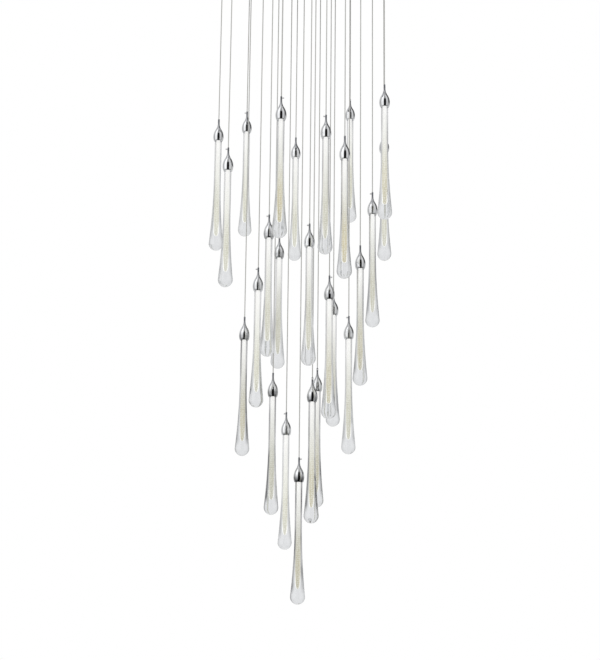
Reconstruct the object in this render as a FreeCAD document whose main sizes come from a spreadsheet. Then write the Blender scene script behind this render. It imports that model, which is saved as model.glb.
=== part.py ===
import FreeCAD, Part
import Sketcher
import math
import os

# Crystal chandelier: 25 glass drops hang on thin cords under a round canopy.
# Lengths are millimetres. The origin is the centre of the face that lies on the
# ceiling, Z points up, and the side that the photograph shows faces -Y.

doc = FreeCAD.newDocument("chandelier")
sheet = doc.addObject("Spreadsheet::Sheet", "Sizes")
sub_parts = []


# Sizes that follow the spreadsheet
class Size:
    """A size with its value now and the formula that ties it to the sheet."""

    def __init__(self, value, formula):
        self.value = value
        self.formula = formula

    def __add__(self, other):
        return Size(self.value + number(other), f"({self.formula} + {text(other)})")

    def __sub__(self, other):
        return Size(self.value - number(other), f"({self.formula} - {text(other)})")

    def __mul__(self, other):
        return Size(self.value * number(other), f"({self.formula} * {text(other)})")

    def __truediv__(self, other):
        return Size(self.value / number(other), f"({self.formula} / {text(other)})")

    def __neg__(self):
        return Size(-self.value, f"(0 - {self.formula})")


def number(size):
    return size.value if isinstance(size, Size) else size


def text(size):
    return size.formula if isinstance(size, Size) else str(size)


def sized(alias, value, note):
    """Writes a driving size, or a formula of earlier ones, into the sheet's next row."""
    row = len(sheet.getUsedCells()) // 2 + 1
    sheet.set(f"A{row}", note)
    local = text(value).replace("Sizes.", "")
    sheet.set(f"B{row}", f"={local}" if isinstance(value, Size) else local)
    sheet.setAlias(f"B{row}", alias)
    return Size(float(number(value)), f"Sizes.{alias}")


# Canopy and the bracket that carries it
canopy_radius = sized("canopy_radius", 300, "outer radius of the canopy")
canopy_depth = sized("canopy_depth", 40, "ceiling to the canopy's underside")
canopy_wall = sized("canopy_wall", 1.2, "sheet thickness of the canopy")
canopy_corner = sized("canopy_corner", 7, "outer radius of the canopy's lower edge")
arm_width = sized("arm_width", 40, "width of a bracket arm")
arm_thickness = sized("arm_thickness", 3, "thickness of a bracket arm")
tab_drop = sized("tab_drop", 24, "how far the bracket's end tabs reach down")
tab_thickness = sized("tab_thickness", 2.5, "thickness of an end tab")
tab_gap = sized("tab_gap", 0.3, "end tab to the canopy's wall")
ceiling_hole_radius = sized("ceiling_hole_radius", 3.25, "hole for a ceiling screw")
ceiling_hole_circle = sized("ceiling_hole_circle", 200, "radius of the circle of those holes")
side_screw_radius = sized("side_screw_radius", 2, "shank of a canopy screw")
side_screw_head = sized("side_screw_head", 4, "head radius of a canopy screw")
side_head_length = sized("side_head_length", 2.6, "head length of a canopy screw")
side_screw_depth = sized("side_screw_depth", 14, "ceiling to a canopy screw's axis")
side_screw_end = sized("side_screw_end", 2, "canopy screw beyond its tab")
screw_clearance = sized("screw_clearance", 0.05, "canopy screw to its holes")

# Grips that clamp the cords in the canopy's floor
cord_radius = sized("cord_radius", 1.5, "radius of a suspension cord")
grip_radius = sized("grip_radius", 7, "corner radius of a grip's hexagon and its locknut")
grip_height = sized("grip_height", 5, "grip below the canopy")
stem_radius = sized("stem_radius", 4, "stem of a grip")
stem_clearance = sized("stem_clearance", 0.1, "stem to its hole in the canopy")
locknut_height = sized("locknut_height", 4, "height of a locknut")

# Cap on each drop, from the top of its neck downwards
cap_height = sized("cap_height", 71.5, "neck's top to the rim")
neck_radius = sized("neck_radius", 2.7, "radius of the slim neck")
neck_height = sized("neck_height", 13, "straight part of the neck")
shoulder_radius = sized("shoulder_radius", 8.8, "radius where the flare turns over")
shoulder_depth = sized("shoulder_depth", 33.5, "neck's top to that place")
rim_radius = sized("rim_radius", 12.8, "radius of the rim")
socket_gap = sized("socket_gap", 0.15, "glass to the cap's socket")
thumb_screw_depth = sized("thumb_screw_depth", 5, "neck's top to the cord screw's axis")
thumb_screw_radius = sized("thumb_screw_radius", 2.2, "corner radius of a cord screw")
thumb_screw_length = sized("thumb_screw_length", 5.3, "cord screw outside the neck")
thumb_screw_seat = sized("thumb_screw_seat", 0.05, "cord screw to the neck")
board_radius = sized("board_radius", 10, "corner radius of an LED board")
board_height = sized("board_height", 3, "height of an LED board with its lens")

# Glass drop, from the cap's rim downwards
glass_length = sized("glass_length", 345, "rim to the rounded end")
glass_insert = sized("glass_insert", 12, "glass inside the cap")
column_radius = sized("column_radius", 10.4, "radius of the glass column")
column_length = sized("column_length", 118, "rim to where the glass begins to widen")
bulb_radius = sized("bulb_radius", 21.2, "radius where the rounded end begins")
bulb_height = sized("bulb_height", 23.6, "height of the rounded end")

# What stands on the canopy's floor
driver_length = sized("driver_length", 90, "length of an LED driver")
driver_width = sized("driver_width", 40, "width of an LED driver")
driver_height = sized("driver_height", 22, "height of an LED driver")
ear_length = sized("ear_length", 8, "mounting ear at each end of a driver")
ear_height = sized("ear_height", 2, "thickness of a mounting ear")
ear_hole_radius = sized("ear_hole_radius", 2.1, "screw hole in a mounting ear")
terminal_length = sized("terminal_length", 60, "length of the terminal block")
terminal_width = sized("terminal_width", 20, "width of the terminal block")
terminal_height = sized("terminal_height", 17, "height of the terminal block")
terminal_step = sized("terminal_step", 6, "step along each side of the terminal block")

# How far the lowest cap's neck hangs below the canopy
longest_drop = sized("longest_drop", 1591, "canopy to the lowest cap's neck")

# Each pendant: its hole seen from above and its cap's neck below the canopy, both in
# steps, and the way that the screw in that neck points, in degrees from +X. There are 300
# steps to the canopy's radius and 1591 to the longest drop.
RADIUS_STEPS, DROP_STEPS = 300, 1591
LEFT, RIGHT, FRONT, BACK = 180, 0, 270, 90
PENDANTS = (
    (153, 218, 405, FRONT),
    (-181, 188, 463, LEFT),
    (242, -112, 489, BACK),
    (-23, 265, 521, BACK),
    (-259, 23, 553, BACK),
    (253, 69, 567, BACK),
    (-62, -257, 588, RIGHT),
    (67, -190, 616, LEFT),
    (120, -241, 698, BACK),
    (-216, -153, 706, LEFT),
    (213, 5, 787, LEFT),
    (-69, 115, 897, BACK),
    (-94, -140, 903, LEFT),
    (23, -130, 926, LEFT),
    (173, -65, 972, BACK),
    (-127, -30, 1034, LEFT),
    (101, 155, 1067, BACK),
    (82, -110, 1075, RIGHT),
    (145, 60, 1159, LEFT),
    (-168, 40, 1169, BACK),
    (52, 92, 1314, FRONT),
    (-80, 34, 1339, BACK),
    (36, -58, 1365, FRONT),
    (-41, 188, 1437, LEFT),
    (0, 0, 1591, RIGHT),
)

pendants = []
for count, (x_steps, y_steps, drop_steps, turn) in enumerate(PENDANTS, start=1):
    hole_x = canopy_radius * x_steps / RADIUS_STEPS
    hole_y = canopy_radius * y_steps / RADIUS_STEPS
    drop = longest_drop * drop_steps / DROP_STEPS
    pendants.append((
        f"{count:02d}",
        sized(f"hole_x_{count:02d}", hole_x, f"pendant {count}: hole, left to right"),
        sized(f"hole_y_{count:02d}", hole_y, f"pendant {count}: hole, front to back"),
        sized(f"cord_drop_{count:02d}", drop, f"pendant {count}: canopy to the cap's neck"),
        sized(f"screw_turn_{count:02d}", turn, f"pendant {count}: way of the cord screw"),
    ))

# What stands on the canopy's floor between the grips, placed in the same steps
DRIVERS = ((-145, 122), (-168, -92), (168, -165))
TERMINAL = (20, 160)
driver_places = [
    (canopy_radius * x_steps / RADIUS_STEPS, canopy_radius * y_steps / RADIUS_STEPS)
    for x_steps, y_steps in DRIVERS
]
terminal_x, terminal_y = (canopy_radius * steps / RADIUS_STEPS for steps in TERMINAL)
doc.recompute()

# Sizes that follow from the ones above
underside = -canopy_depth
floor_top = underside + canopy_wall
inside_radius = canopy_radius - canopy_wall
arm_reach = inside_radius - tab_gap
screw_hole_radius = side_screw_radius + screw_clearance
stem_hole_radius = stem_radius + stem_clearance
grip_bottom = underside - grip_height
socket_radius = column_radius + socket_gap
glass_top = glass_insert - cap_height
glass_bottom = -cap_height - glass_length


# Helpers that make the document's objects
def bind(thing, path, value):
    """Ties a property to the sheet, or sets it where the value is no Size."""
    if isinstance(value, Size):
        thing.setExpression(path, value.formula)
    else:
        setattr(thing, path, value)


def place(thing, x=None, y=None, z=None, turn=None):
    """Ties a placement to the sheet. The turn is about the upright axis."""
    for path, value in (("Base.x", x), ("Base.y", y), ("Base.z", z), ("Rotation.Angle", turn)):
        if value is not None:
            thing.setExpression(f"Placement.{path}", text(value))
    return thing


def primitive(kind, name, sizes, **where):
    thing = doc.addObject(f"Part::{kind}", name)
    for path, value in sizes.items():
        bind(thing, path, value)
    return place(thing, **where)


def lying(kind, name, sizes, axis, **where):
    """A primitive whose own upright axis is laid along another one."""
    thing = primitive(kind, name, sizes)
    thing.Placement.Rotation = FreeCAD.Rotation(FreeCAD.Vector(0, 0, 1), FreeCAD.Vector(*axis))
    return place(thing, **where)


def joined(name, pieces):
    thing = doc.addObject("Part::MultiFuse", name)
    thing.Shapes = pieces
    return thing


def drilled(name, base, holes):
    thing = doc.addObject("Part::Cut", name)
    thing.Base = base
    thing.Tool = joined(f"{name}_holes", holes)
    return thing


def together(name, pieces, **where):
    """Several solids that stay separate, as one object."""
    thing = doc.addObject("Part::Compound", name)
    thing.Links = pieces
    return place(thing, **where)


def sub_part(label, thing):
    """Names the object that gets this file."""
    thing.Label = label
    sub_parts.append(thing)


def sketch_on(body, role, name):
    """A sketch on one of the body's own origin planes."""
    sketch = body.newObject("Sketcher::SketchObject", name)
    plane = next(feature for feature in body.Origin.OriginFeatures if feature.Role == role)
    sketch.AttachmentSupport = [(plane, "")]
    sketch.MapMode = "FlatFace"
    return sketch


def constrain(sketch, kind, *where, value=None):
    """One constraint, tied to the sheet where it has a size."""
    if value is None:
        sketch.addConstraint(Sketcher.Constraint(kind, *where))
        return
    which = sketch.addConstraint(Sketcher.Constraint(kind, *where, number(value)))
    sketch.setExpression(f"Constraints[{which}]", text(value))


def pin(sketch, geometry, point, x, y):
    """Holds a point of a sketch at its two sizes from the origin."""
    for kind, value, axis in (("DistanceX", x, -2), ("DistanceY", y, -1)):
        if number(value) == 0:
            constrain(sketch, "PointOnObject", geometry, point, axis)
        else:
            constrain(sketch, kind, -1, 1, geometry, point, value=value)


def pin_circle(sketch, x, y, radius):
    centre = FreeCAD.Vector(number(x), number(y), 0)
    circle = sketch.addGeometry(Part.Circle(centre, FreeCAD.Vector(0, 0, 1), number(radius)))
    pin(sketch, circle, 3, x, y)
    constrain(sketch, "Radius", circle, value=radius)


def smooth_arc(start, end, heading):
    """The arc that leaves start along heading and meets end, with its heading there."""
    chord = end.sub(start)
    side = FreeCAD.Vector(-heading.y, heading.x, 0)
    radius = chord.dot(chord) / (2 * chord.dot(side))
    centre = start.add(side * radius)
    first = math.atan2(start.y - centre.y, start.x - centre.x)
    last = math.atan2(end.y - centre.y, end.x - centre.x)
    turns_left = radius > 0
    low, high = (first, last) if turns_left else (last, first)
    if high < low:
        high += 2 * math.pi
    circle = Part.Circle(centre, FreeCAD.Vector(0, 0, 1), abs(radius))
    angle = high - low if turns_left else low - high
    bend = FreeCAD.Rotation(FreeCAD.Vector(0, 0, 1), math.degrees(angle))
    return Part.ArcOfCircle(circle, low, high), turns_left, bend.multVec(heading)


def turned_body(name, outline):
    """A body turned about the upright axis from rows of (way to the point, radius, height).

    The way is a line, or an arc that leaves the piece before it smoothly.
    """
    body = doc.addObject("PartDesign::Body", name)
    sketch = sketch_on(body, "XZ_Plane", f"{name}_outline")
    points = [FreeCAD.Vector(number(radius), number(height), 0) for _, radius, height in outline]
    runs = []
    heading = None
    for i, (way, _, _) in enumerate(outline):
        start, end = points[i - 1], points[i]
        if way == "line":
            runs.append((sketch.addGeometry(Part.LineSegment(start, end)), 1, 2))
            heading = end.sub(start).normalize()
        else:
            arc, turns_left, heading = smooth_arc(start, end, heading)
            geometry = sketch.addGeometry(arc)
            runs.append((geometry, 1, 2) if turns_left else (geometry, 2, 1))
    for i, (way, radius, height) in enumerate(outline):
        geometry, first, last = runs[i]
        previous = runs[i - 1]
        meets = "Coincident" if way == "line" else "Tangent"
        constrain(sketch, meets, previous[0], previous[2], geometry, first)
        pin(sketch, geometry, last, radius, height)
    turned = body.newObject("PartDesign::Revolution", f"{name}_turned")
    turned.Profile = sketch
    turned.ReferenceAxis = (sketch, ["V_Axis"])
    turned.Angle = 360
    return body


def cut_through(body, sketch, side="One side"):
    """Cuts a sketch's circles through the whole body."""
    pocket = body.newObject("PartDesign::Pocket", f"{sketch.Name}_cut")
    pocket.Profile = sketch
    pocket.SideType = side
    pocket.Type = "ThroughAll"


# Canopy: a turned pan with a hole for each grip and four in its side for its screws
inner_corner = canopy_corner - canopy_wall
pan = turned_body("pan", (
    ("line", 0, underside),
    ("line", canopy_radius - canopy_corner, underside),
    ("arc", canopy_radius, underside + canopy_corner),
    ("line", canopy_radius, 0),
    ("line", inside_radius, 0),
    ("line", inside_radius, floor_top + inner_corner),
    ("arc", inside_radius - inner_corner, floor_top),
    ("line", 0, floor_top),
))
grip_holes = sketch_on(pan, "XY_Plane", "grip_holes")
for _, hole_x, hole_y, _, _ in pendants:
    pin_circle(grip_holes, hole_x, hole_y, stem_hole_radius)
cut_through(pan, grip_holes)
for role, name in (("XZ_Plane", "front_screw_holes"), ("YZ_Plane", "side_screw_holes")):
    screw_holes = sketch_on(pan, role, name)
    pin_circle(screw_holes, 0, -side_screw_depth, screw_hole_radius)
    cut_through(pan, screw_holes, "Symmetric")
sub_part("canopy_pan", pan)

# Mounting bracket: two crossed arms on the ceiling, with a tab turned down at each end
# that follows the canopy's wall
arms = (
    primitive(
        "Box", "arm_across",
        {"Length": inside_radius * 2, "Width": arm_width, "Height": arm_thickness},
        x=-inside_radius, y=-arm_width / 2, z=-arm_thickness,
    ),
    primitive(
        "Box", "arm_along",
        {"Length": arm_width, "Width": inside_radius * 2, "Height": arm_thickness},
        x=-arm_width / 2, y=-inside_radius, z=-arm_thickness,
    ),
)
tab = primitive(
    "Box", "tab",
    {"Length": tab_thickness + tab_gap, "Width": arm_width, "Height": tab_drop},
    x=arm_reach - tab_thickness, y=-arm_width / 2, z=-tab_drop,
)
tabs = [together(f"tab_{side}", [tab], turn=side * 90) for side in range(4)]
bracket_holes = [
    lying(
        "Cylinder", f"tab_hole_{name}",
        {"Radius": screw_hole_radius, "Height": canopy_radius * 2}, axis,
        x=canopy_radius * start[0], y=canopy_radius * start[1], z=-side_screw_depth,
    )
    for name, axis, start in (("across", (1, 0, 0), (-1, 0)), ("along", (0, 1, 0), (0, -1)))
]
for side, (way_x, way_y) in enumerate(((1, 0), (0, 1), (-1, 0), (0, -1))):
    bracket_holes.append(primitive(
        "Cylinder", f"ceiling_hole_{side}",
        {"Radius": ceiling_hole_radius, "Height": arm_thickness},
        x=ceiling_hole_circle * way_x, y=ceiling_hole_circle * way_y, z=-arm_thickness,
    ))
bracket = doc.addObject("Part::Common", "bracket")
bracket.Base = drilled("bracket_drilled", joined("bracket_steel", [*arms, *tabs]), bracket_holes)
bracket.Tool = primitive(
    "Cylinder", "bracket_reach", {"Radius": arm_reach, "Height": tab_drop}, z=-tab_drop,
)
sub_part("mounting_bracket", bracket)

# Canopy screws: through the pan's side into the tabs
head = lying(
    "Cylinder", "side_screw_top",
    {"Radius": side_screw_head, "Height": side_head_length}, (1, 0, 0),
    x=canopy_radius, z=-side_screw_depth,
)
shank_length = canopy_wall + tab_gap + tab_thickness + side_screw_end
shank = lying(
    "Cylinder", "side_screw_shank",
    {"Radius": side_screw_radius, "Height": shank_length}, (1, 0, 0),
    x=canopy_radius - shank_length, z=-side_screw_depth,
)
side_screw = joined("side_screw", [head, shank])
sub_part("canopy_screws", together(
    "side_screws",
    [together(f"side_screw_{side}", [side_screw], turn=side * 90) for side in range(4)],
))

# Cord grips with their stems through the pan, and a locknut on the end of each stem
grip_hexagon = primitive(
    "Prism", "grip_hexagon",
    {"Polygon": 6, "Circumradius": grip_radius, "Height": grip_height}, z=grip_bottom,
)
grip_stem = primitive(
    "Cylinder", "grip_stem", {"Radius": stem_radius, "Height": canopy_wall}, z=underside,
)
grip = joined("grip", [grip_hexagon, grip_stem])
locknut = primitive(
    "Prism", "locknut",
    {"Polygon": 6, "Circumradius": grip_radius, "Height": locknut_height}, z=floor_top,
)
for label, piece in (("cord_grips", grip), ("grip_locknuts", locknut)):
    sub_part(label, together(f"all_{label}", [
        together(f"{label}_{name}", [piece], x=hole_x, y=hole_y)
        for name, hole_x, hole_y, _, _ in pendants
    ]))

# Suspension cords: each hangs straight from its grip to the neck of its cap
sub_part("pendant_cords", together("cords", [
    primitive(
        "Cylinder", f"cord_{name}",
        {"Radius": cord_radius, "Height": drop - grip_height},
        x=hole_x, y=hole_y, z=underside - drop,
    )
    for name, hole_x, hole_y, drop, _ in pendants
]))

# LED drivers: a case on a base with a holed ear at each end
driver_case = primitive(
    "Box", "driver_case",
    {"Length": driver_length, "Width": driver_width, "Height": driver_height},
    x=-driver_length / 2, y=-driver_width / 2, z=floor_top,
)
driver_base = primitive(
    "Box", "driver_base",
    {"Length": driver_length + ear_length * 2, "Width": driver_width, "Height": ear_height},
    x=-driver_length / 2 - ear_length, y=-driver_width / 2, z=floor_top,
)
ear_holes = [
    primitive(
        "Cylinder", f"ear_hole_{name}",
        {"Radius": ear_hole_radius, "Height": ear_height},
        x=(driver_length + ear_length) / 2 * way, z=floor_top,
    )
    for name, way in (("left", -1), ("right", 1))
]
driver = drilled("driver", joined("driver_body", [driver_case, driver_base]), ear_holes)
sub_part("led_drivers", together("drivers", [
    together(f"driver_{i}", [driver], x=x, y=y) for i, (x, y) in enumerate(driver_places)
]))

# Terminal block: a ridge with a step along each side
terminal_base = primitive(
    "Box", "terminal_base",
    {"Length": terminal_length, "Width": terminal_width, "Height": terminal_height / 2},
    x=-terminal_length / 2, y=-terminal_width / 2, z=floor_top,
)
ridge_width = terminal_width - terminal_step * 2
terminal_ridge = primitive(
    "Box", "terminal_ridge",
    {"Length": terminal_length, "Width": ridge_width, "Height": terminal_height},
    x=-terminal_length / 2, y=-ridge_width / 2, z=floor_top,
)
terminal = joined("terminal", [terminal_base, terminal_ridge])
sub_part("terminal_block", together("terminal_place", [terminal], x=terminal_x, y=terminal_y))

# Cap: a turned teardrop with a socket for the glass and the LED board above it
socket_top = glass_top + board_height
cap = turned_body("cap", (
    ("line", 0, 0),
    ("line", neck_radius, 0),
    ("line", neck_radius, -neck_height),
    ("arc", shoulder_radius, -shoulder_depth),
    ("arc", rim_radius, -cap_height),
    ("line", socket_radius, -cap_height),
    ("line", socket_radius, socket_top),
    ("line", 0, socket_top),
))
board = primitive(
    "Prism", "board",
    {"Polygon": 6, "Circumradius": board_radius, "Height": board_height}, z=glass_top,
)
thumb_screw = lying(
    "Prism", "thumb_screw",
    {"Polygon": 6, "Circumradius": thumb_screw_radius, "Height": thumb_screw_length}, (1, 0, 0),
    x=neck_radius + thumb_screw_seat, z=-thumb_screw_depth,
)

# Glass drop: a column that flares into a heavy rounded end
glass = turned_body("glass", (
    ("line", 0, glass_top),
    ("line", column_radius, glass_top),
    ("line", column_radius, -cap_height - column_length),
    ("arc", bulb_radius, glass_bottom + bulb_height),
    ("arc", 0, glass_bottom),
))

# The pendants: each cap turned so that its screw points the way it does on its cord
for name, hole_x, hole_y, drop, turn in pendants:
    where = {"x": hole_x, "y": hole_y, "z": underside - drop}
    sub_part(f"chrome_cap_{name}", together(
        f"cap_{name}", [cap, board, thumb_screw], turn=turn, **where,
    ))
    sub_part(f"glass_drop_{name}", together(f"drop_{name}", [glass], **where))

# Check every object, then write one file for each sub-part
doc.recompute()
for thing in doc.Objects:
    if "Invalid" in thing.State or "Error" in thing.State:
        raise RuntimeError(f"{thing.Label} failed: {thing.State}")
os.makedirs("parts", exist_ok=True)
for thing in sub_parts:
    if thing.Shape.isNull() or not thing.Shape.isValid() or not thing.Shape.Solids:
        raise RuntimeError(f"{thing.Label} has no valid solid")
for thing in sub_parts:
    solids = thing.Shape.Solids
    shape = Part.makeCompound(solids) if len(solids) > 1 else solids[0]
    shape.exportStep(f"parts/{thing.Label}.step")
    print(f"{thing.Label}: {len(solids)} solid(s), {shape.Volume:.0f} mm3")
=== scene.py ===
# %% [markdown]
# # A crystal chandelier
#
# 25 long glass drops hang on thin cords at stepped heights. Each drop has a chromed
# teardrop cap, a column of fine bubbles inside clear glass and a heavy rounded end.
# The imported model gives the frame: every length is in metres, the ceiling is at z = 0
# and the side that the photograph shows faces -Y. Cords, glass, caps and the canopy's
# pan are made again here in finer shapes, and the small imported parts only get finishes.

# %% Load the frame
import math

import bpy
import numpy as np
from mathutils import Matrix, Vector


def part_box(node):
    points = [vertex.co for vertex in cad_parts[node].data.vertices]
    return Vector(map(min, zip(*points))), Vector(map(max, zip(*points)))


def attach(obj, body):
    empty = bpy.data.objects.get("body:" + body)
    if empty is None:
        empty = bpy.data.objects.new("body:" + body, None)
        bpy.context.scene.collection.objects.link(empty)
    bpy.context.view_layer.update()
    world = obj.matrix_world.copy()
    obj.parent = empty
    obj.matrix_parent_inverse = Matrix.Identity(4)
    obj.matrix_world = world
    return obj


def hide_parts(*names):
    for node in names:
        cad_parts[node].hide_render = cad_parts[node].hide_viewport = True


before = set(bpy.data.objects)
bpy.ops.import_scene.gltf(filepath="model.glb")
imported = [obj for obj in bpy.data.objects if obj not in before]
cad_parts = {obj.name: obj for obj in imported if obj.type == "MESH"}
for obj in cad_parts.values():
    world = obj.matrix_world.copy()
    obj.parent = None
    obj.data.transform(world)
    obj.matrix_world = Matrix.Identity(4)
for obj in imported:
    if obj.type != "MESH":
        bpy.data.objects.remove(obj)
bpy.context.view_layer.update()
scene = bpy.context.scene
numbers = [f"{i:02d}" for i in range(1, 26)]
print("pieces in the frame:", len(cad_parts))

# %% [markdown]
# The drops' places come from the frame itself: the box of each CAD node says where it is,
# so nothing is measured twice. The cap's box gives the top of its neck, and the middle of
# the glass gives the axis that everything in that pendant is turned about.

# %% Where each pendant hangs
pendants = {}
for number in numbers:
    low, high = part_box(f"glass_drop_{number}")
    neck_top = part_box(f"chrome_cap_{number}")[1][2]
    pendants[number] = ((low[0] + high[0]) / 2, (low[1] + high[1]) / 2, neck_top)
print("lowest neck:", round(min(place[2] for place in pendants.values()), 3))

# %% [markdown]
# All 25 drops are alike, so the boxes of one give the heights of them all, to a tenth of a
# millimetre. They count from the neck's top, which is height 0 in the outlines of cap,
# glass and core. The glass starts a little above the cap's rim, where it is cemented in.

# %% Heights in one pendant
cap_low, cap_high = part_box("chrome_cap_25")
glass_low, glass_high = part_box("glass_drop_25")
rim = round(cap_low[2] - cap_high[2], 4)
glass_top = round(glass_high[2] - cap_high[2], 4)
glass_bottom = round(glass_low[2] - cap_high[2], 4)
grip_mouth = round(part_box("cord_grips")[0][2], 4)
print("rim, glass top and glass bottom:", rim, glass_top, glass_bottom)

# %% [markdown]
# The camera comes first, because it shows whether the cords reach past the picture. It
# stands 3.48 m in front of the canopy's axis, level with the lowest drop, and looks up by
# 10.8 degrees. The photograph is also turned by 0.6 of a degree, so the camera gets its
# own three axes rather than plain angles.

# %% Camera at the photograph's viewpoint
PICTURE_HEIGHT, FOCAL_PIXELS, SHIFT_PIXELS = 660, 1196.8, -2.54
CAMERA_PLACE = (0.0059, -3.477, -1.92)
PITCH, ROLL = math.radians(10.83), math.radians(0.637)


def camera_axes(pitch, roll):
    """Right, up and backward: tilt up by the pitch, then turn about the view by the roll."""
    level_right = np.array([1.0, 0, 0])
    tilted_up = np.array([0, -math.sin(pitch), math.cos(pitch)])
    right = math.cos(roll) * level_right + math.sin(roll) * tilted_up
    up = math.cos(roll) * tilted_up - math.sin(roll) * level_right
    return right, up, np.cross(right, up)


lens = bpy.data.cameras.new("photo_camera")
lens.sensor_width = 36
lens.lens = FOCAL_PIXELS / PICTURE_HEIGHT * lens.sensor_width
lens.shift_x = SHIFT_PIXELS / PICTURE_HEIGHT
lens.clip_end = 60
camera = bpy.data.objects.new("photo_camera", lens)
scene.collection.objects.link(camera)
axes = np.eye(4)
axes[:3, :3] = np.column_stack(camera_axes(PITCH, ROLL))
axes[:3, 3] = CAMERA_PLACE
camera.matrix_world = Matrix(axes.tolist())
scene.camera = camera
print("focal length:", round(lens.lens, 1), "mm")

# %% [markdown]
# Shader maths reads best as plain arithmetic. `Wire` wraps one socket, so that `a * b + 1`
# adds its Math nodes by itself. Adding each node by hand would hide the formula.


# %% A socket to calculate with
class Wire:
    """One output socket that can be calculated with."""

    def __init__(self, paint, socket):
        self.paint = paint
        self.socket = socket

    def math(self, operation, *others):
        """A Math node on this socket and the others, which may be wires or numbers."""
        node = self.paint.tree.nodes.new("ShaderNodeMath")
        node.operation = operation
        for slot, value in zip(node.inputs, (self, *others)):
            self.paint.feed(slot, value)
        return Wire(self.paint, node.outputs[0])

    def __add__(self, other):
        return self.math("ADD", other)

    def __sub__(self, other):
        return self.math("SUBTRACT", other)

    def __mul__(self, other):
        return self.math("MULTIPLY", other)

    def __pow__(self, other):
        return self.math("POWER", other)

    def __rsub__(self, other):
        return self * -1 + other

    __radd__ = __add__
    __rmul__ = __mul__

    def between(self, low, high):
        """0 below low, 1 above high and a straight ramp between them."""
        return self.paint.node(
            "MapRange", {"clamp": True}, Value=self, **{"From Min": low, "From Max": high}
        )


print("a wire can add, subtract, multiply, raise and ramp")

# %% [markdown]
# `Paint` holds the tree of one material or of the room. Its `node` makes any node in one
# line, and the methods below it are the few patterns that come back in every finish.


# %% A tree to paint with
class Paint:
    """The node tree of one material or world."""

    def __init__(self, owner):
        self.owner = owner
        owner.use_nodes = True
        self.tree = owner.node_tree
        self.tree.nodes.clear()

    def feed(self, slot, value):
        """A link from a wire, or else a constant. A colour of three numbers becomes opaque."""
        if isinstance(value, Wire):
            self.tree.links.new(value.socket, slot)
        elif hasattr(slot, "default_value"):
            if isinstance(value, tuple) and len(slot.default_value) == 4 and len(value) == 3:
                value = (*value, 1)
            slot.default_value = value

    def node(self, kind, settings=None, output=0, **inputs):
        """Any node: its settings first, then the values or links of its sockets.

        A socket is named by its own name, or by _ and its number where names repeat.
        """
        node = self.tree.nodes.new(f"ShaderNode{kind}")
        for name, value in (settings or {}).items():
            setattr(node, name, value)
        for name, value in inputs.items():
            slot = node.inputs[int(name[1:])] if name[0] == "_" else node.inputs[name]
            self.feed(slot, value)
        return Wire(self, node.outputs[output])

    def outputs(self, kind, **inputs):
        """All outputs of a node, by name."""
        made = self.node(kind, **inputs).socket.node
        return {socket.name: Wire(self, socket) for socket in made.outputs}

    def where(self):
        """The Object coordinates, in metres."""
        return self.node("TexCoord", output=3)

    def reading(self, attribute):
        """The number that the mesh holds under that name."""
        return self.node("Attribute", {"attribute_name": attribute}, output=2)

    def mix(self, factor, one, two):
        """A colour that goes from one to two."""
        return self.node("Mix", {"data_type": "RGBA"}, output=2, _0=factor, _6=one, _7=two)

    def stretch(self, vector, factors):
        """A vector times one factor for each axis."""
        return self.node("VectorMath", {"operation": "MULTIPLY"}, _0=vector, _1=factors)

    def dim(self, colour, factor):
        """A colour times a number."""
        return self.node("VectorMath", {"operation": "SCALE"}, Vector=colour, Scale=factor)

    def end(self, kind, shader):
        """Links the last shader to the output."""
        output = self.tree.nodes.new(f"ShaderNodeOutput{kind}")
        self.tree.links.new(shader.socket, output.inputs["Surface"])
        print(self.owner.name, "nodes:", len(self.tree.nodes))

    def principled(self, sockets):
        """Ends the tree of a material in one Principled shader."""
        self.end("Material", self.node("BsdfPrincipled", **sockets))


def material(name):
    """A new material and the tree to paint it with."""
    made = bpy.data.materials.new(name)
    return made, Paint(made)


print("a tree can mix, stretch, dim and read what the mesh holds")

# %% [markdown]
# ## The cords
#
# A thin grey sleeve, spun round its leads, holds each drop and feeds its light. The turns
# of the strand are far finer than a pixel, so they are bands in the colour, not geometry.

# %% Cord sleeve
cord_sleeve, paint = material("cord_sleeve")
strands = paint.node(
    "TexWave", {"bands_direction": "Z"}, Vector=paint.where(), Scale=260.0, Distortion=1.5
)
paint.principled({
    "Base Color": paint.mix(strands, (0.40, 0.398, 0.382), (0.51, 0.507, 0.488)),
    "Roughness": 0.28,
    "IOR": 1.5,
})

# %% [markdown]
# Each drop weighs half a kilogram, so its cord hangs dead straight. It runs from the
# mouth of the grip in the canopy to the neck of the cap, and swings with its drop. A curve
# with a round section stays light, and its line gives the cord's length.

# %% Suspension cords
CORD_DIAMETER = 0.003
CORD_RUN_OUT = 0.02


def hanging_cord(number, x, y, neck_top):
    """A straight NURBS line with a round section, from the grip's mouth to the neck's top.

    It returns the cord's length.
    """
    line = bpy.data.curves.new(f"cord_{number}", "CURVE")
    line.dimensions = "3D"
    line.bevel_depth = CORD_DIAMETER / 2
    line.bevel_resolution = 3
    line.use_fill_caps = True
    line.resolution_u = 4
    heights = (grip_mouth, grip_mouth - CORD_RUN_OUT, neck_top + CORD_RUN_OUT, neck_top)
    spline = line.splines.new("NURBS")
    spline.points.add(len(heights) - 1)
    for point, height in zip(spline.points, heights):
        point.co = (x, y, height, 1)
    spline.order_u = 3
    spline.use_endpoint_u = True
    line.materials.append(cord_sleeve)
    piece = bpy.data.objects.new(f"cord_{number}", line)
    scene.collection.objects.link(piece)
    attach(piece, f"pendant_{number}")
    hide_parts("pendant_cords")
    return grip_mouth - neck_top


lengths = [hanging_cord(number, *place) for number, place in pendants.items()]
print("cords:", len(lengths), "from", round(min(lengths), 3), "to", round(max(lengths), 3))

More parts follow.
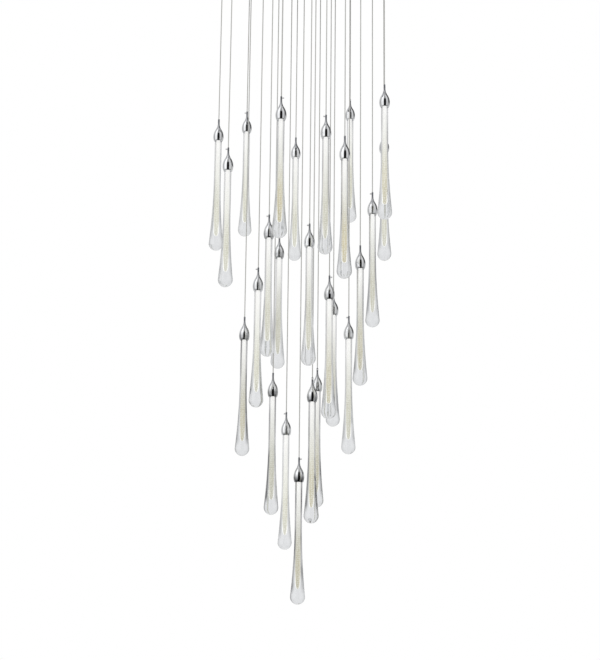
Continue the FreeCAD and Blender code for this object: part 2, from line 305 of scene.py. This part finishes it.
# %% [markdown]
# ## Turned pieces
#
# Glass, cores, caps, screws and the pan are all round, so they are turned as on a lathe.
# An outline of radius and height is carried round an upright axis and gives one grid of
# vertices. A Screw modifier could do that too, but the grid also knows how far round and
# how far down each vertex lies, which the finishes read. The outline's first and last
# points lie on the axis, where one vertex closes the pole.


# %% Points and faces of a turned surface
def turned_points(outline, centre, around):
    """Rings of (r cos t, r sin t, z) about the centre for the inner (r, z), then both poles."""
    turn = np.arange(around) * 2 * math.pi / around
    radius, height = outline[1:-1, :1], outline[1:-1, 1:]
    rings = np.stack([
        centre[0] + radius * np.cos(turn),
        centre[1] + radius * np.sin(turn),
        centre[2] + np.repeat(height, around, axis=1),
    ], axis=-1).reshape(-1, 3)
    poles = np.array([(0, 0, outline[0, 1]), (0, 0, outline[-1, 1])]) + centre
    return np.vstack([rings, poles])


def turned_faces(ring_count, around):
    """Quads from ring to ring and fans to the poles, for an outline that goes up.

    Each comes with how far round its corners are, counted in steps. At the seam the step
    after the last is the first vertex again, but its count goes on.
    """
    steps = np.arange(around)
    after = (steps + 1) % around
    rows = np.arange(ring_count - 1)[:, None] * around
    quads = np.stack([
        rows + steps, rows + after, rows + after + around, rows + steps + around,
    ], axis=-1).reshape(-1, 4)
    quad_turns = np.tile(np.stack([steps, steps + 1, steps + 1, steps], axis=-1), (ring_count - 1, 1))
    pole, last_ring = np.full(around, ring_count * around), (ring_count - 1) * around
    fans = np.vstack([
        np.stack([pole, after, steps], axis=-1),
        np.stack([pole + 1, last_ring + steps, last_ring + after], axis=-1),
    ])
    fan_turns = np.vstack([
        np.stack([steps + 0.5, steps + 1, steps], axis=-1),
        np.stack([steps + 0.5, steps, steps + 1], axis=-1),
    ])
    return quads, quad_turns, fans, fan_turns


trial_quads, _, trial_fans, _ = turned_faces(50, 64)
print("50 rings of 64 steps:", len(trial_quads), "quads and", len(trial_fans), "triangles")

# %% [markdown]
# `mark` puts a number on the vertices for a material to read, as a maker pencils a note on
# a blank. `turned` uses it for the way down, and later cells for what differs from drop to
# drop, so that all 25 can share one finish.


# %% Turned pieces
def mark(mesh, name, value):
    """Gives the vertices their values, or all of them the same one."""
    values = np.broadcast_to(value, len(mesh.vertices)).astype(np.float32)
    mesh.attributes.new(name, "FLOAT", "POINT").data.foreach_set("value", values)


def turned(name, outline, centre, around=64):
    """A closed surface: each (r, z) of the outline becomes (r cos t, r sin t, z) about the centre.

    The UV map `turn` holds t as a share of a whole turn and the share of the height below
    the top, and the attribute `down` holds that second share by itself. An outline that
    goes down has its faces reversed, so that they still point outwards.
    """
    points = turned_points(outline, centre, around)
    faces = turned_faces(len(outline) - 2, around)
    if outline[0, 1] > outline[-1, 1]:
        faces = [grid[:, ::-1] for grid in faces]
    quads, quad_turns, fans, fan_turns = faces
    mesh = bpy.data.meshes.new(name)
    mesh.from_pydata(points.tolist(), [], quads.tolist() + fans.tolist())
    mesh.shade_smooth()
    down = (points[:, 2].max() - points[:, 2]) / np.ptp(points[:, 2])
    mark(mesh, "down", down)
    turns = np.concatenate([quad_turns.ravel(), fan_turns.ravel()]) / around
    corners = np.concatenate([quads.ravel(), fans.ravel()])
    layer = np.stack([turns, down[corners]], axis=-1).astype(np.float32)
    mesh.uv_layers.new(name="turn").data.foreach_set("uv", layer.ravel())
    piece = bpy.data.objects.new(name, mesh)
    scene.collection.objects.link(piece)
    return piece


print("each turned piece carries", ["down", "turn"])

# %% [markdown]
# Hot glass and spun metal flow in curves that meet without a corner. So an outline is made
# of straight stretches and of arcs, each of which leaves in the direction in which the
# last one arrived.


# %% Stretches of an outline
def rotated(vector, angle):
    """(x cos a - y sin a, x sin a + y cos a), for one angle or for each of many."""
    x, y = vector
    return np.stack([
        x * np.cos(angle) - y * np.sin(angle),
        x * np.sin(angle) + y * np.cos(angle),
    ], axis=-1)


def arc(start, end, heading, steps):
    """Points on the arc that leaves start along heading and meets end, without start itself.

    The centre lies square to the heading, at the chord squared over twice the chord's
    share of that side. The sweep is twice the angle from the heading to the chord.
    """
    start, end = np.array(start, float), np.array(end, float)
    side = np.array([-heading[1], heading[0]])
    chord = end - start
    centre = start + side * (chord @ chord / (2 * chord @ side))
    sweep = 2 * math.atan2(chord @ side, chord @ heading)
    points = centre + rotated(start - centre, np.linspace(0, sweep, steps + 1)[1:])
    return points, rotated(heading, sweep)


def upright(radius, heights):
    """Points at one radius, one for each height."""
    return np.stack([np.full(len(heights), radius), heights], axis=-1)


def joined(*stretches):
    """One outline from single (radius, height) points and arrays of them."""
    return np.vstack([np.atleast_2d(stretch) for stretch in stretches]).astype(float)


STRAIGHT_DOWN = np.array([0, -1.0])
_, heading = arc((1, 0), (0, -1), STRAIGHT_DOWN, 8)
print("a quarter round from straight down ends in the direction", heading.round(3))

# %% [markdown]
# ## The glass
#
# The glass is solid, so it works as a lens: it makes the column of bubbles inside look half
# as wide again and pulls the dark sides of the room into its edges as grey lines. Its colour
# adds painted shade to that: it darkens towards its edges, unevenly along a stretched noise
# and more on some drops than on others, as a mark on the mesh says. The clear glass is also
# painted greyer further down, darkest at the heavy end.

# %% Clear glass
crystal, paint = material("clear_crystal")
where = paint.where()
down = paint.reading("down")
# Painted shade: the clear glass's colour greys from near white under the cap towards the heavy end.
painted_shade_down = paint.mix(down.between(0.10, 0.60), (0.985, 0.985, 0.985), (0.85, 0.86, 0.86))
body_tone = paint.mix(down.between(0.66, 0.88), painted_shade_down, (0.77, 0.78, 0.785))

# Painted shade: the glass's colour darkens towards grazing angles, a narrow line along the column and a
# wider one round the heavy end.
facing = paint.node("LayerWeight", output=1, Blend=0.5)
column_edge_shade = facing.between(0.06, 0.32) * (1 - facing.between(0.42, 0.9) * 0.15)
heavy_end = down.between(0.86, 0.92)
line = column_edge_shade * (1 - heavy_end) + facing.between(0.36, 0.70) * heavy_end
drawn = paint.stretch(where, (60.0, 60.0, 9.0))
uneven = paint.node("TexNoise", Vector=drawn, Scale=1.0, Detail=1.0).between(0.36, 0.62)
strength = (paint.reading("edge_shade") * 0.30 + 0.34) * (uneven * 0.9 + 0.6)
painted_edge_shade = line * strength * (1 - down.between(0.96, 0.99) * 0.7)

ripple = paint.node("TexNoise", Vector=where, Scale=38.0, Detail=2.0)
pits = paint.node("TexNoise", Vector=where, Scale=420.0, Detail=1.0) * down.between(0.80, 0.95)
paint.principled({
    "Base Color": paint.dim(body_tone, 1 - painted_edge_shade),
    "Roughness": 0.0,
    "IOR": 1.47,
    "Transmission Weight": 1.0,
    "Normal": paint.node("Bump", Strength=0.15, Distance=0.001, Height=ripple + pits * 0.5),
})

# %% [markdown]
# A drop is drawn from the furnace as a straight column that swells into a heavy rounded
# end. Its outline is one line and two arcs. A few points and a subdivision would round it
# too, but arcs keep the sizes exact. Rings along the column keep its shading even.

# %% Glass drops
COLUMN_RADIUS, COLUMN_LENGTH, COLUMN_EDGE = 0.0104, 0.118, 0.0008
BULB_RADIUS, BULB_HEIGHT = 0.0212, 0.0236
ring_depths = np.linspace(0.01, 0.12, 10)
flare_start = (COLUMN_RADIUS, rim - COLUMN_LENGTH)
flare, heading = arc(flare_start, (BULB_RADIUS, glass_bottom + BULB_HEIGHT), STRAIGHT_DOWN, 24)
rounded_end, _ = arc(flare[-1], (0, glass_bottom), heading, 20)
glass_outline = joined(
    (0, glass_top),
    (COLUMN_RADIUS - COLUMN_EDGE, glass_top),
    (COLUMN_RADIUS, glass_top - COLUMN_EDGE),
    upright(COLUMN_RADIUS, glass_top - ring_depths),
    flare,
    rounded_end,
)


def by_number(usual, *groups):
    """The usual value for every pendant, except for the groups of numbers that have their own."""
    values = dict.fromkeys(numbers, usual)
    for value, group in groups:
        values.update(dict.fromkeys(group.split(), value))
    return values


# How much more painted shade each drop's edges get.
edge_shade = by_number(0.0, (0.5, "06 09 11 15 17"), (1.0, "20 21 22 23 25"))
for number, place in pendants.items():
    shell = turned(f"glass_shell_{number}", glass_outline, place)
    mark(shell.data, "edge_shade", edge_shade[number])
    shell.data.materials.append(crystal)
    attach(shell, f"pendant_{number}")
    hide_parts(f"glass_drop_{number}")
print("widest point of a drop:", round(2 * glass_outline[:, 0].max(), 4))

# %% [markdown]
# ## The column of bubbles
#
# Inside each drop thousands of fine bubbles were trapped in a rod that the clear glass was
# gathered over. The LED in the cap lights the rod from above, and that light is painted into
# the rod's colour and glow: it is white under the cap and turns champagne further down, where
# rows of bubbles show. Its sides carry painted shade and its tip a painted highlight. Real
# bubbles would be thousands of tiny balls, so here a lattice of cells on the rod's own map
# stands for them.

# %% Champagne bubbles
core_finish, paint = material("champagne_bubbles")
where = paint.where()
down = paint.reading("down")
cloud = paint.node("TexNoise", Vector=where, Scale=26.0, Detail=3.0).between(0.3, 0.7)
drawn = paint.stretch(where, (330.0, 330.0, 9.0))
streaks = paint.node("TexNoise", Vector=drawn, Scale=1.0, Detail=2.0).between(0.35, 0.65)
tone = cloud * 0.4 + streaks * 0.6
pale = paint.mix(tone, (0.52, 0.52, 0.445), (0.68, 0.68, 0.61))
honey = paint.mix(tone, (0.50, 0.45, 0.285), (0.65, 0.595, 0.43))
champagne = paint.mix(paint.reading("warmth") * down.between(0.30, 0.80), pale, honey)

CELLS_ROUND, CELLS_DOWN = 7.0, 58.0
lattice = paint.stretch(paint.node("UVMap", {"uv_map": "turn"}), (CELLS_ROUND, CELLS_DOWN, 1.0))
fizz = paint.node(
    "TexVoronoi", {"voronoi_dimensions": "2D"}, Vector=lattice, Scale=1.0, Randomness=0.4
)
bubbles = 1 - fizz.between(0.14, 0.36)
bubbled = paint.mix(bubbles * 0.9, champagne, (0.80, 0.795, 0.74))

grazing = paint.node("LayerWeight", output=1, Blend=0.5)
# Painted highlight: a pale outline round the sides of the rod's tip.
tip_painted_highlight = down.between(0.84, 0.95) * grazing.between(0.12, 0.60)
tip_highlighted = paint.mix(tip_painted_highlight, bubbled, (1.05, 1.05, 1.03))
lit = paint.mix(down.between(0.10, 0.68), (0.83, 0.83, 0.815), tip_highlighted)
# Painted shade: the rod's colour darkens towards its sides, in its upper part.
painted_flank_shade = grazing.between(0.35, 0.90) * (1 - down.between(0.6, 0.85)) * 0.45
toned = paint.mix(painted_flank_shade, lit, (0.25, 0.25, 0.23))
glow = (paint.reading("glow") - 1) * down.between(0.10, 0.45) + 1
paint.principled({
    "Base Color": paint.mix(0.7, toned, (0, 0, 0)),
    "Roughness": 0.45,
    "Emission Color": paint.dim(toned, glow),
    "Emission Strength": 1.0,
    "Normal": paint.node("Bump", Strength=0.5, Distance=0.0006, Height=fizz),
})

# %% [markdown]
# The rod widens a little on its way down and ends in a tip that is blunt on some drops and
# slim on others, as it was drawn. Some rods are warmer or brighter than others, which a
# mark on each mesh tells the one finish they share.

# %% Bubble columns
CORE_TOP_RADIUS, CORE_RADIUS, CORE_LENGTH = 0.0037, 0.0052, 0.302
CORE_ROWS, CORE_EDGE = 50, 0.0005
SLIM_TIPS, BLUNT_TIP = (0.014, 0.032), 0.009
core_end = rim - CORE_LENGTH


def bullet(radius, end, taper, steps=14):
    """Points from the full radius down to a tip.

    The radius falls as the sine of an angle to the power 0.8 and the height as one minus
    its cosine, so the tip is round and the shoulder runs on smoothly.
    """
    angles = np.linspace(math.pi / 2, 0, steps)
    return np.stack([radius * np.sin(angles) ** 0.8, end + taper * (1 - np.cos(angles))], axis=-1)


def core_outline(taper):
    """A flat top, a radius that grows evenly over the upper two thirds, and the bullet's tip."""
    tip = bullet(CORE_RADIUS, core_end, taper)
    top = glass_top - CORE_EDGE
    growth = np.clip(np.linspace(0, 1.5, CORE_ROWS), 0, 1)
    radii = CORE_TOP_RADIUS + (CORE_RADIUS - CORE_TOP_RADIUS) * growth
    heights = np.linspace(top - CORE_EDGE, tip[0, 1], CORE_ROWS)
    column = np.stack([radii, heights], axis=-1)
    return joined((0, top), (CORE_TOP_RADIUS * 0.95, top), column, tip[1:])


warmth = by_number(0.2, (0.6, "03 15 18 20 21 23 25"), (0.95, "07"), (1.0, "09"))
glows = by_number(1.0, (1.09, "01 02 03 04 05 06 10 16 24"), (0.90, "12 15 17 20 21 22 25"))
tapers = dict(zip(numbers, np.random.default_rng(25).uniform(*SLIM_TIPS, len(numbers))))
tapers.update(dict.fromkeys("03 07 09 13 18".split(), BLUNT_TIP))
for number, place in pendants.items():
    core = turned(f"bubble_core_{number}", core_outline(tapers[number]), place, around=28)
    mark(core.data, "warmth", warmth[number])
    mark(core.data, "glow", glows[number])
    core.data.materials.append(core_finish)
    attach(core, f"pendant_{number}")
print("tips from", round(min(tapers.values()), 4), "to", round(max(tapers.values()), 4), "long")

# %% [markdown]
# ## The caps
#
# The caps are spun brass with a mirror chrome finish. A mirror shows the room, and one
# painted room can't be right for all 25 caps at once. So the chrome's colour carries painted
# shade: it is darker near the neck, and on the lowest caps, which mirror most of the floor,
# also low on the sides, as a painted dark reflection.

# %% Mirror chrome
chrome, paint = material("mirror_chrome")
down = paint.reading("down")
haze = paint.node("TexNoise", Vector=paint.where(), Scale=160.0, Detail=4.0).between(0.3, 0.8)
# Painted shade: the chrome's colour is dark at the neck and lightens further down.
neck_painted_shade = paint.mix(down.between(0.14, 0.56), (0.26, 0.27, 0.29), (0.93, 0.94, 0.95))
# Painted dark reflection of the floor, low on the caps whose mark asks for it.
flank_painted_reflection = down.between(0.66, 0.84) * paint.reading("flank_shade")
paint.principled({
    "Base Color": paint.mix(flank_painted_reflection * 0.8, neck_painted_shade, (0.10, 0.105, 0.11)),
    "Metallic": 1.0,
    "Roughness": haze * 0.04 + 0.03,
})

# %% [markdown]
# The outline is a slim neck, a hollow arc, a full arc and a rim that turns in to a fine gap
# round the glass, and goes on up inside to a little above it. The cap could be a plain
# cone, but the run from hollow to full is what makes it a drop.

# %% Teardrop caps
NECK_RADIUS, NECK_HEIGHT, NECK_EDGE = 0.0027, 0.013, 0.0005
SHOULDER_RADIUS, SHOULDER_DEPTH = 0.0088, 0.0335
RIM_RADIUS, RIM_EDGE_WIDTH, RIM_EDGE_HEIGHT = 0.0128, 0.0003, 0.0002
MOUTH_GAP, MOUTH_EDGE, SOCKET_GAP, SOCKET_ROOM = 0.0003, 0.0005, 0.0002, 0.003
neck_rings = np.array([NECK_EDGE, 0.006, 0.0095, NECK_HEIGHT])
hollow, heading = arc(
    (NECK_RADIUS, -NECK_HEIGHT), (SHOULDER_RADIUS, -SHOULDER_DEPTH), STRAIGHT_DOWN, 12
)
full, _ = arc(hollow[-1], (RIM_RADIUS, rim), heading, 28)
cap_outline = joined(
    (0, 0),
    (NECK_RADIUS - NECK_EDGE, 0),
    upright(NECK_RADIUS, -neck_rings),
    hollow,
    full[:-1],
    (RIM_RADIUS, rim + RIM_EDGE_HEIGHT),
    (RIM_RADIUS - RIM_EDGE_WIDTH, rim),
    (COLUMN_RADIUS + 2 * MOUTH_GAP, rim),
    (COLUMN_RADIUS + MOUTH_GAP, rim + MOUTH_EDGE),
    (COLUMN_RADIUS + SOCKET_GAP, glass_top + SOCKET_ROOM),
    (0, glass_top + SOCKET_ROOM),
)
# How much painted dark reflection each cap gets low on its sides.
flank_shade = by_number(
    0.12, (0.25, "02 03 05 07 15 16 21"), (0.55, "12 13 18"), (0.7, "20"), (0.8, "22 23"), (1.0, "25")
)
for number, place in pendants.items():
    cap = turned(f"cap_{number}", cap_outline, place)
    mark(cap.data, "flank_shade", flank_shade[number])
    cap.data.materials.append(chrome)
    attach(cap, f"pendant_{number}")
    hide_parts(f"chrome_cap_{number}")
print("caps:", len(pendants), "with", len(cap_outline), "points in the outline")

# %% [markdown]
# A small nickel screw in the side of each neck clamps the cord, so the drop's height can
# be set. Nickel is duller than chrome, with a fine grain in both its colour and its gloss.

# %% Satin nickel
satin, paint = material("satin_nickel")
grain = paint.node("TexNoise", Vector=paint.where(), Scale=900.0, Detail=2.0)
paint.principled({
    "Base Color": paint.mix(grain, (0.75, 0.75, 0.76), (0.85, 0.85, 0.86)),
    "Metallic": 0.55,
    "Roughness": grain * 0.2 + 0.3,
})

# %% [markdown]
# The screws point in different ways, as the fitter left them. Each is turned upright at the
# origin, and then its vertices are laid on their side, because an object that is itself
# turned would carry its finish round with it.

# %% Cord screws
SCREW_HEIGHT = -0.005
SHANK_RADIUS, HEAD_RADIUS = 0.0011, 0.0022
SHANK_START, HEAD_START, SCREW_END = 0.0024, 0.0042, 0.00805
INNER_CHAMFER, OUTER_CHAMFER = 0.0003, 0.0004
WAYS = {
    180: "02 08 10 11 13 14 16 19 24",
    0: "07 18 25",
    270: "01 21 23",
    90: "03 04 05 06 09 12 15 17 20 22",
}
screw_outline = joined(
    (0, SHANK_START),
    (SHANK_RADIUS, SHANK_START),
    (SHANK_RADIUS, HEAD_START),
    (HEAD_RADIUS - INNER_CHAMFER, HEAD_START),
    (HEAD_RADIUS, HEAD_START + INNER_CHAMFER),
    (HEAD_RADIUS, SCREW_END - OUTER_CHAMFER),
    (HEAD_RADIUS - OUTER_CHAMFER, SCREW_END),
    (0, SCREW_END),
)


def lay_down(mesh, place, height, degrees):
    """Lays an upright mesh from the origin on its side, to point that way from the axis.

    Its height becomes the way out, (cos a, sin a), its y the way across, (-sin a, cos a),
    and its x the way down.
    """
    points = np.empty(len(mesh.vertices) * 3, dtype=np.float32)
    mesh.vertices.foreach_get("co", points)
    x, across, out = points.reshape(-1, 3).T
    way = math.radians(degrees)
    laid = np.stack([
        place[0] + out * math.cos(way) - across * math.sin(way),
        place[1] + out * math.sin(way) + across * math.cos(way),
        place[2] + height - x,
    ], axis=-1)
    mesh.vertices.foreach_set("co", laid.ravel())


for degrees, group in WAYS.items():
    for number in group.split():
        screw = turned(f"cord_screw_{number}", screw_outline, (0, 0, 0), around=24)
        lay_down(screw.data, pendants[number], SCREW_HEIGHT, degrees)
        screw.data.materials.append(satin)
        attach(screw, f"pendant_{number}")
print("screws that point each way:", {degrees: len(group.split()) for degrees, group in WAYS.items()})

# %% [markdown]
# ## The canopy
#
# The photograph stops below it, so its look is taken from the caps: a pan spun from one
# disc and chromed outside. The inside isn't polished and keeps the fine rings that the
# spinning tool leaves, here a sine of the radius with a ring every 2.4 mm. One finish does
# both: a mask on radius and height says which side of the sheet a point is on.

# %% Canopy chrome
CANOPY_WALL, MASK_STEP = 0.0012, 0.0002
TOOL_RINGS = 2600
canopy_low, canopy_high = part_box("canopy_pan")
canopy_radius, canopy_floor = round(canopy_high[0], 4), round(canopy_low[2], 4)
inner_radius, inner_floor = canopy_radius - CANOPY_WALL, canopy_floor + CANOPY_WALL
pan_chrome, paint = material("canopy_chrome")
where = paint.where()
x, y, z = paint.outputs("SeparateXYZ", Vector=where).values()
radius = (x * x + y * y) ** 0.5
within_wall = 1 - radius.between(inner_radius - MASK_STEP, inner_radius + 2 * MASK_STEP)
inside = within_wall * z.between(inner_floor - 4 * MASK_STEP, inner_floor - MASK_STEP)
polish = paint.node("TexNoise", Vector=where, Scale=9.0, Detail=3.0).between(0.3, 0.7)
fine = paint.node("TexNoise", Vector=where, Scale=240.0, Detail=2.0)
spun = (radius * TOOL_RINGS).math("SINE").between(-1, 1)
outer_tone = paint.mix(polish, (0.76, 0.77, 0.79), (0.84, 0.84, 0.85))
inner_tone = paint.mix(spun * 0.5 + polish * 0.4, (0.52, 0.53, 0.54), (0.68, 0.68, 0.68))
paint.principled({
    "Base Color": paint.mix(inside, outer_tone, inner_tone),
    "Metallic": 1.0,
    "Roughness": fine * 0.06 + 0.10 + inside * 0.42,
})

# %% [markdown]
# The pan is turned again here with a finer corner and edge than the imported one. Grips and
# screws fill its holes, so the holes themselves never show and are left out.

# %% Canopy pan
CANOPY_CORNER, CANOPY_EDGE = 0.007, 0.0003
UNDERSIDE_RINGS = 12


def corner(radius, height, size, steps=10):
    """A quarter round from the upright wall to the flat floor.

    The radius falls from the wall's by size times one minus the cosine, and the height to
    the floor's by size times the sine, over a quarter turn.
    """
    angles = np.linspace(0, math.pi / 2, steps)
    return np.stack([
        radius - size + size * np.cos(angles), height + size - size * np.sin(angles)
    ], axis=-1)


underside = np.linspace(canopy_radius - CANOPY_CORNER, 0, UNDERSIDE_RINGS)[1:]
pan_outline = joined(
    (0, inner_floor),
    corner(inner_radius, inner_floor, CANOPY_CORNER - CANOPY_WALL)[::-1],
    (inner_radius, -CANOPY_EDGE),
    (inner_radius + CANOPY_EDGE, 0),
    (canopy_radius - CANOPY_EDGE, 0),
    (canopy_radius, -CANOPY_EDGE),
    corner(canopy_radius, canopy_floor, CANOPY_CORNER),
    np.stack([underside, np.full(len(underside), canopy_floor)], axis=-1),
)
pan = turned("canopy_shell", pan_outline, (0, 0, 0), around=192)
pan.data.materials.append(pan_chrome)
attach(pan, "canopy")
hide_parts("canopy_pan")
print("canopy:", 2 * canopy_radius, "across and", -canopy_floor, "deep")

# %% [markdown]
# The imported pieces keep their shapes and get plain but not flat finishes: zinc on the
# sheet steel shows as cloudy spangles, the nuts are a little yellower, and the moulded
# cases are matt with a faint orange peel. They differ only in tone, size and depth of the
# grain, so one function makes them all.

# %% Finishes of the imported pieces


def finish(name, dark, light, metallic, roughness, scale, bump=0.0):
    """A cloudy two-tone finish: cells and clouds of the given scale share tone, gloss and bump."""
    made, paint = material(name)
    where = paint.where()
    cells = paint.node("TexVoronoi", {"feature": "SMOOTH_F1"}, Vector=where, Scale=scale)
    cloud = paint.node("TexNoise", Vector=where, Scale=scale * 0.4, Detail=4.0)
    tone = (cells * 0.5 + cloud * 0.7).between(0.2, 0.8)
    paint.principled({
        "Base Color": paint.mix(tone, dark, light),
        "Metallic": metallic,
        "Roughness": tone * 0.12 + roughness,
        "Normal": paint.node("Bump", Strength=bump, Distance=0.0004, Height=cells),
    })
    return made


for node, made in {
    "mounting_bracket": finish("zinc_sheet", (0.55, 0.57, 0.59), (0.78, 0.79, 0.80), 0.85, 0.34, 90, 0.1),
    "grip_locknuts": finish("zinc_nut", (0.55, 0.53, 0.48), (0.72, 0.70, 0.64), 1.0, 0.26, 300, 0.1),
    "canopy_screws": finish("polished_screw", (0.74, 0.75, 0.77), (0.86, 0.87, 0.88), 1.0, 0.10, 500),
    "cord_grips": finish("polished_grip", (0.70, 0.71, 0.73), (0.86, 0.87, 0.88), 1.0, 0.10, 400),
    "led_drivers": finish("driver_case", (0.82, 0.82, 0.80), (0.88, 0.88, 0.87), 0.0, 0.45, 700, 0.3),
    "terminal_block": finish("terminal_nylon", (0.76, 0.76, 0.72), (0.85, 0.85, 0.82), 0.0, 0.38, 600, 0.3),
}.items():
    holders = bpy.data.objects[node].material_slots
    for holder in holders:
        holder.material = made
    print(node, "slots:", len(holders))

# %% [markdown]
# ## Light and room
#
# The photograph was taken against plain white. Glass and chrome are nearly all reflection,
# so the room decides how they look. Lamps and black cards could stand round the chandelier,
# but a room painted on the world by direction alone fits all 25 drops with less to set up.

# %% Directions in the room
room = bpy.data.worlds.new("studio_room")
scene.world = room
paint = Paint(room)
side, away, up = paint.outputs("SeparateXYZ", Vector=paint.node("TexCoord", output=0)).values()
azimuth = paint.node("Math", {"operation": "ARCTAN2"}, _0=side, _1=away * -1)


def window(value, start, end, soft):
    """1 between start and end, 0 outside, with soft ramps."""
    return value.between(start - soft, start + soft) * (1 - value.between(end - soft, end + soft))


print("directions: to the right, away from the camera, up, and round from the camera")

# %% [markdown]
# What the chrome mirrors: a wide soft light at the left, a weaker one at the right, and
# between them the dark gap where the camera stands, which is the dark bar in each cap.
# Angles are in radians, from the camera's side. The floor in front is dark too, and the
# white backdrop closes the room at the back.

# %% The room in the chrome
SOFTBOX, FILL, CAMERA_GAP = (-1.40, -0.41), (0.56, 1.30), (-0.37, 0.54)
softbox = window(azimuth, *SOFTBOX, 0.06)
fill = window(azimuth, *FILL, 0.10)
camera_gap = window(azimuth, *CAMERA_GAP, 0.06) * (1 - up.between(0.62, 0.72))
floor_gap = (1 - up.between(-0.42, -0.12)) * up.between(-0.97, -0.80) * (1 - away.between(-0.1, 0.3))
right_flag = side.between(-0.02, 0.08) * up.between(0.18, 0.32) * away.between(-0.05, 0.1)
lit_floor = (up * -1).between(0.15, 0.50) * away.between(0.0, 0.4) * 0.45
bounce = away.between(-0.15, 0.30) * 0.30
lights = 0.30 + softbox * 0.82 + fill * 0.40 + lit_floor + bounce
in_front = lights * (1 - camera_gap * 0.97) * (1 - floor_gap * 0.88) * (1 - right_flag * 0.88)
backdrop = away.between(0.84, 0.97) * (1 - right_flag)
for_chrome = in_front * (1 - backdrop) + backdrop
print("nodes so far:", len(paint.tree.nodes))

# %% [markdown]
# What shows through the glass: white straight ahead and straight behind, and a third
# darker to the sides. The glass bends those sides into its edges, which draws its grey
# outline. Rays that go down stay light, and rays that go steeply up nearly so.

# %% The room in the glass
square_on = away.math("ABSOLUTE").between(0.15, 0.92)
not_below = 1 - (up * -1).between(0.05, 0.40)
less_above = 1 - up.between(0.40, 0.75) * 0.6
for_glass = 1 - (1 - square_on) * not_below * less_above * 0.34
print("nodes so far:", len(paint.tree.nodes))

# %% [markdown]
# Each ray gets its own room: rays that came through glass see that one, other mirrored rays
# the chrome's, soft light comes evenly from all sides, and the camera sees plain white.

# %% Which rays see which room
ray = paint.outputs("LightPath")
through = ray["Transmission Depth"].between(0.0, 1.0)
level = for_chrome * (1 - through) + for_glass * through
shown = paint.node("CombineColor", Red=level, Green=level, Blue=level * 1.01)
sharp = ray["Is Glossy Ray"].math("MAXIMUM", ray["Is Transmission Ray"])
lighting = paint.mix(sharp, (0.92, 0.92, 0.92), shown)
seen = paint.mix(ray["Is Camera Ray"], lighting, (1, 1, 1))
paint.end("World", paint.node("Background", Color=seen, Strength=1.0))

# %% [markdown]
# A weak, wide key light from the upper left in front shapes the matt pieces. It is hidden
# from mirrors and glass, where it would show as a disc that the photograph doesn't have.

# %% Soft key light
KEY_STRENGTH, KEY_SPREAD, KEY_TILT, KEY_TURN = 0.5, 50, 50, -35
sun = bpy.data.lights.new("soft_key", "SUN")
sun.energy = KEY_STRENGTH
sun.angle = math.radians(KEY_SPREAD)
key = bpy.data.objects.new("soft_key", sun)
key.rotation_euler = (math.radians(KEY_TILT), 0, math.radians(KEY_TURN))
key.visible_glossy = False
key.visible_transmission = False
scene.collection.objects.link(key)
scene.view_settings.view_transform = "Standard"
print("key light:", KEY_STRENGTH, "W per square metre")

# %% [markdown]
# A pale floor lies below the lowest drop and catches soft light. The painted room has a
# floor of its own, so mirrors and glass don't see this one.

# %% Floor
FLOOR_REACH, FLOOR_HEIGHT = 2.2, -2.5
floor_paint, paint = material("pale_floor")
paint.principled({"Base Color": (0.97, 0.97, 0.97), "Roughness": 0.9})
corners = np.array([(-1, -1), (1, -1), (1, 1), (-1, 1)]) * FLOOR_REACH
floor_points = np.column_stack([corners, np.full(4, FLOOR_HEIGHT)])
floor_mesh = bpy.data.meshes.new("floor")
floor_mesh.from_pydata(floor_points.tolist(), [], [(0, 1, 2, 3)])
floor_mesh.materials.append(floor_paint)
floor = bpy.data.objects.new("floor", floor_mesh)
scene.collection.objects.link(floor)
floor.visible_glossy = False
floor.visible_transmission = False
print("floor:", 2 * FLOOR_REACH, "square,", -FLOOR_HEIGHT, "below the ceiling")
